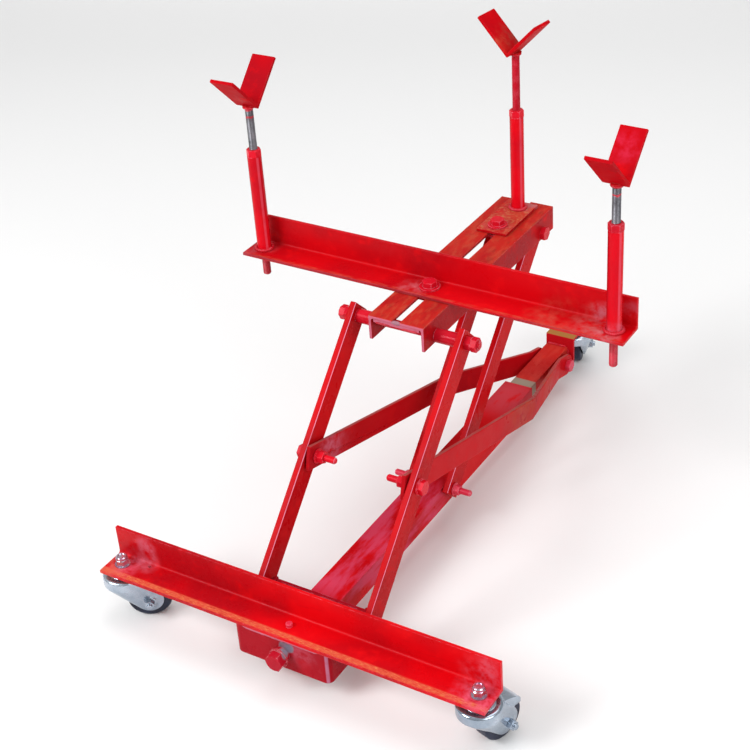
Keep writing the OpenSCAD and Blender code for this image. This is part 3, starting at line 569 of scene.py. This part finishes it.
def threaded(node, mat, body, pitch=0.00195, depth=0.0008, seg=20, per=6):
    """A cut thread from end to end of a rod node, same length and diameter."""
    lo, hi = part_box(node)
    c = (lo + hi) / 2
    r = (hi.x - lo.x) / 2
    rows = max(8, int((hi.z - lo.z) / pitch * per))
    verts, faces = [], []
    for i in range(rows + 1):
        z = lo.z + (hi.z - lo.z) * i / rows
        end = min(1.0, 0.75 + 0.25 * min(z - lo.z, hi.z - z) / 0.0015)
        for k in range(seg):
            f = ((z - lo.z) / pitch - k / seg) % 1.0
            q = abs(f - 0.5) * 2
            q = min(1.0, max(0.0, (q - 0.12) / 0.76))
            rr = (r - depth * (1 - q)) * end
            a = 2 * math.pi * k / seg
            verts.append((c.x + rr * math.cos(a), c.y + rr * math.sin(a), z))
    for i in range(rows):
        for k in range(seg):
            a, b = i * seg + k, i * seg + (k + 1) % seg
            faces.append((a, b, b + seg, a + seg))
    faces.append(tuple(range(seg - 1, -1, -1)))
    faces.append(tuple(range(rows * seg, rows * seg + seg)))
    o = mesh_piece(node + "_thread", verts, faces, mat, body)
    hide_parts(node)
    return o


def bead(name, path, r, mat, body, closed=False, seg=10, pitch=0.0021, seed=0):
    """Weld bead: overlapping ripples laid along a path, uneven in width."""
    pts = [Vector(p) for p in path]
    if closed:
        pts.append(pts[0])
    length = [0.0]
    for a, b in zip(pts, pts[1:]):
        length.append(length[-1] + (b - a).length)
    total = length[-1]
    n = max(8, int(total / pitch * 5))
    rr = random.Random(seed)
    wob = [rr.uniform(-1, 1) for _ in range(64)]
    rings, verts, faces = [], [], []

    def at(d):
        d = max(0.0, min(total, d))
        for i in range(len(pts) - 1):
            if d <= length[i + 1] or i == len(pts) - 2:
                f = (d - length[i]) / max(1e-9, length[i + 1] - length[i])
                return pts[i].lerp(pts[i + 1], f)

    for i in range(n if closed else n + 1):
        d = total * i / n
        p = at(d)
        if closed:
            tg = (at((d + 0.0008) % total) - at((d - 0.0008) % total)).normalized()
        else:
            tg = (at(d + 0.0008) - at(d - 0.0008)).normalized()
        up = Vector((0, 0, 1)) if abs(tg.z) < 0.9 else Vector((1, 0, 0))
        u = tg.cross(up).normalized()
        v = u.cross(tg).normalized()
        ph = (d / pitch) % 1.0
        k = r * (0.86 + 0.16 * (1 - ph) + 0.09 * wob[int(d / 0.006) % 64])
        if not closed:
            k *= min(1.0, 0.45 + min(d, total - d) / (2.2 * r) * 0.55)
        start = len(verts)
        for q in range(seg):
            a = 2 * math.pi * q / seg
            verts.append(p + u * math.cos(a) * k + v * math.sin(a) * k)
        rings.append(start)
    m = len(rings)
    for i in range(m if closed else m - 1):
        a, b = rings[i], rings[(i + 1) % m]
        for q in range(seg):
            faces.append((a + q, a + (q + 1) % seg, b + (q + 1) % seg, b + q))
    if not closed:
        faces.append(tuple(rings[0] + q for q in range(seg - 1, -1, -1)))
        faces.append(tuple(rings[-1] + q for q in range(seg)))
    return mesh_piece(name, verts, faces, mat, body)


def ring(cx, cy, z, r, n=40):
    return [dm(cx + r * math.cos(2 * math.pi * i / n), cy + r * math.sin(2 * math.pi * i / n), z) for i in range(n)]


def welds(M):
    b = M["bead"]
    bead("bead_post_left", ring(-282.5, 432, 396.2, 12.2), 0.0026, b, "cross_beam", True, seed=1)
    bead("bead_post_right", ring(280.5, 432, 396.2, 12.2), 0.0028, b, "cross_beam", True, seed=2)
    bead("bead_post_center", ring(1.5, 704.5, 396.2, 12.2), 0.0026, b, "rear_plate", True, seed=3)
    for k, x, y, z in (("left", -282.5, 432, 619), ("right", 280.5, 432, 607), ("center", 1.5, 704.5, 641)):
        bead("bead_saddle_" + k, ring(x, y, z + 0.8, 7.4, 28), 0.0014 if k == "center" else 0.0018, b, "saddle_" + k, True, seed=4)
    # screw box to beam, on the sides and at the front corners below the flange
    # the front bead's pinkish-white colour is a painted highlight
    bead("bead_box_front", [dm(x, 2.9, 80.7) for x in range(-62, 60, 6)], 0.0025, M["bead_light"], "base", seed=5)
    for s in (-1, 1):
        x = -2.5 + s * 75.6
        bead("bead_box_side_" + ("left", "right")[s > 0], [dm(x, y, 82.0) for y in range(16, 50, 4)], 0.0020, b, "base", seed=6 + s)
    # channel to the back of the front beam's flange and to the cross web
    bead("bead_channel_beam", [dm(x, 50.4, 75.0) for x in range(-21, 22, 3)], 0.0026, b, "base", seed=9)
    # tube to rear bracket
    bead("bead_bracket_top", [dm(x, 845.0, 70.0) for x in range(-17, 18, 3)], 0.0021, b, "slide_tube", seed=10)
    for s in (-1, 1):
        bead("bead_bracket_side_" + ("left", "right")[s > 0], [dm(s * 19.6, 845.2, z) for z in range(46, 68, 3)], 0.0018, b, "slide_tube", seed=12 + s)
    bead("bead_slot_front", [dm(x, 337.4, strap_z_mm + 6.6) for x in range(-9, 10, 3)], 0.0032, M["bead_grey"], "top_frame", seed=20)
    # rails to their cross straps
    for s in (-1, 1):
        bead("bead_strap_" + ("left", "right")[s > 0], [dm(s * x, rail_y_mm + 1.2, strap_z_mm) for x in range(9, 36, 3)], 0.0016, b, "top_frame", seed=15 + s)


rail_y_mm = 335.6
strap_z_mm = 66 + 413.33 * math.sin(math.radians(45.637)) + 27.9 - 9.8

ARMS = ("front_arm_left", "front_arm_right", "rear_arm_left", "rear_arm_right")
FAST = ("rear_pivot_studs", "rear_pivot_nuts", "front_pivot_bolts", "front_pivot_nuts", "cross_shaft", "shaft_nuts", "mid_pivot_bolts", "mid_pivot_nuts",
        "link_pins", "rear_top_bolts", "rear_top_nuts", "cross_clamp", "plate_clamp", "post_nut_left", "post_nut_right", "post_nut_center", "spacer_tubes", "drive_screw")


def main():
    make_camera()
    make_stage()
    make_lights()
    M = make_materials()
    table = {"front_beam": "beam_a", "beam_plug": "plug", "screw_box": "box", "channel_web": "box", "base_channel": "channel",
             "slide_tube": "tube", "rear_bracket": "bracket", "link_left": "link", "link_right": "link",
             "rail_left": "rail", "rail_right": "rail", "rail_straps": "rail", "cross_beam": "beam_b", "rear_plate": "plate",
             "post_left": "post", "post_right": "post", "post_center": "post",
             "saddle_left": "saddle", "saddle_right": "saddle", "saddle_center": "saddle",
             "front_caster_stems": "zinc_pink", "rear_caster_stem": "zinc_pink", "screw_nut": "steel"}
    for k in ("left", "right", "rear"):
        table["fork_" + k] = table["axle_" + k] = "zinc"
        table["wheel_" + k] = "rubber"
    for n in ARMS:
        table[n] = "arm"
    for n in FAST:
        table[n] = "fast"
    table["drive_screw"] = "hex"
    table["rear_pivot_nuts"] = table["rear_pivot_studs"] = table["link_pins"] = "plug"
    for n, o in N.items():
        assign(o, M[table.get(n, "red")])
    for n in ARMS + ("link_left", "link_right"):
        soften(N[n], 0.0013, 3)
    for n in ("cross_beam", "rail_left", "rail_right", "rear_plate", "rear_bracket", "slide_tube", "base_channel", "screw_box", "saddle_left", "saddle_right", "saddle_center"):
        soften(N[n], 0.0009, 2)
    for n in ("mid_pivot_bolts", "link_pins", "rear_top_bolts", "shaft_nuts", "front_pivot_nuts", "rear_pivot_nuts", "mid_pivot_nuts", "axle_left", "axle_right", "axle_rear"):
        soften(N[n], 0.0006, 2)
    for k in ("left", "right", "rear"):
        press(N["fork_" + k])
    threaded("rod_left", M["thread_left"], "rod_left")
    threaded("rod_right", M["thread_right"], "rod_right")
    threaded("rod_center", M["thread_red"], "rod_center")
    welds(M)


main()
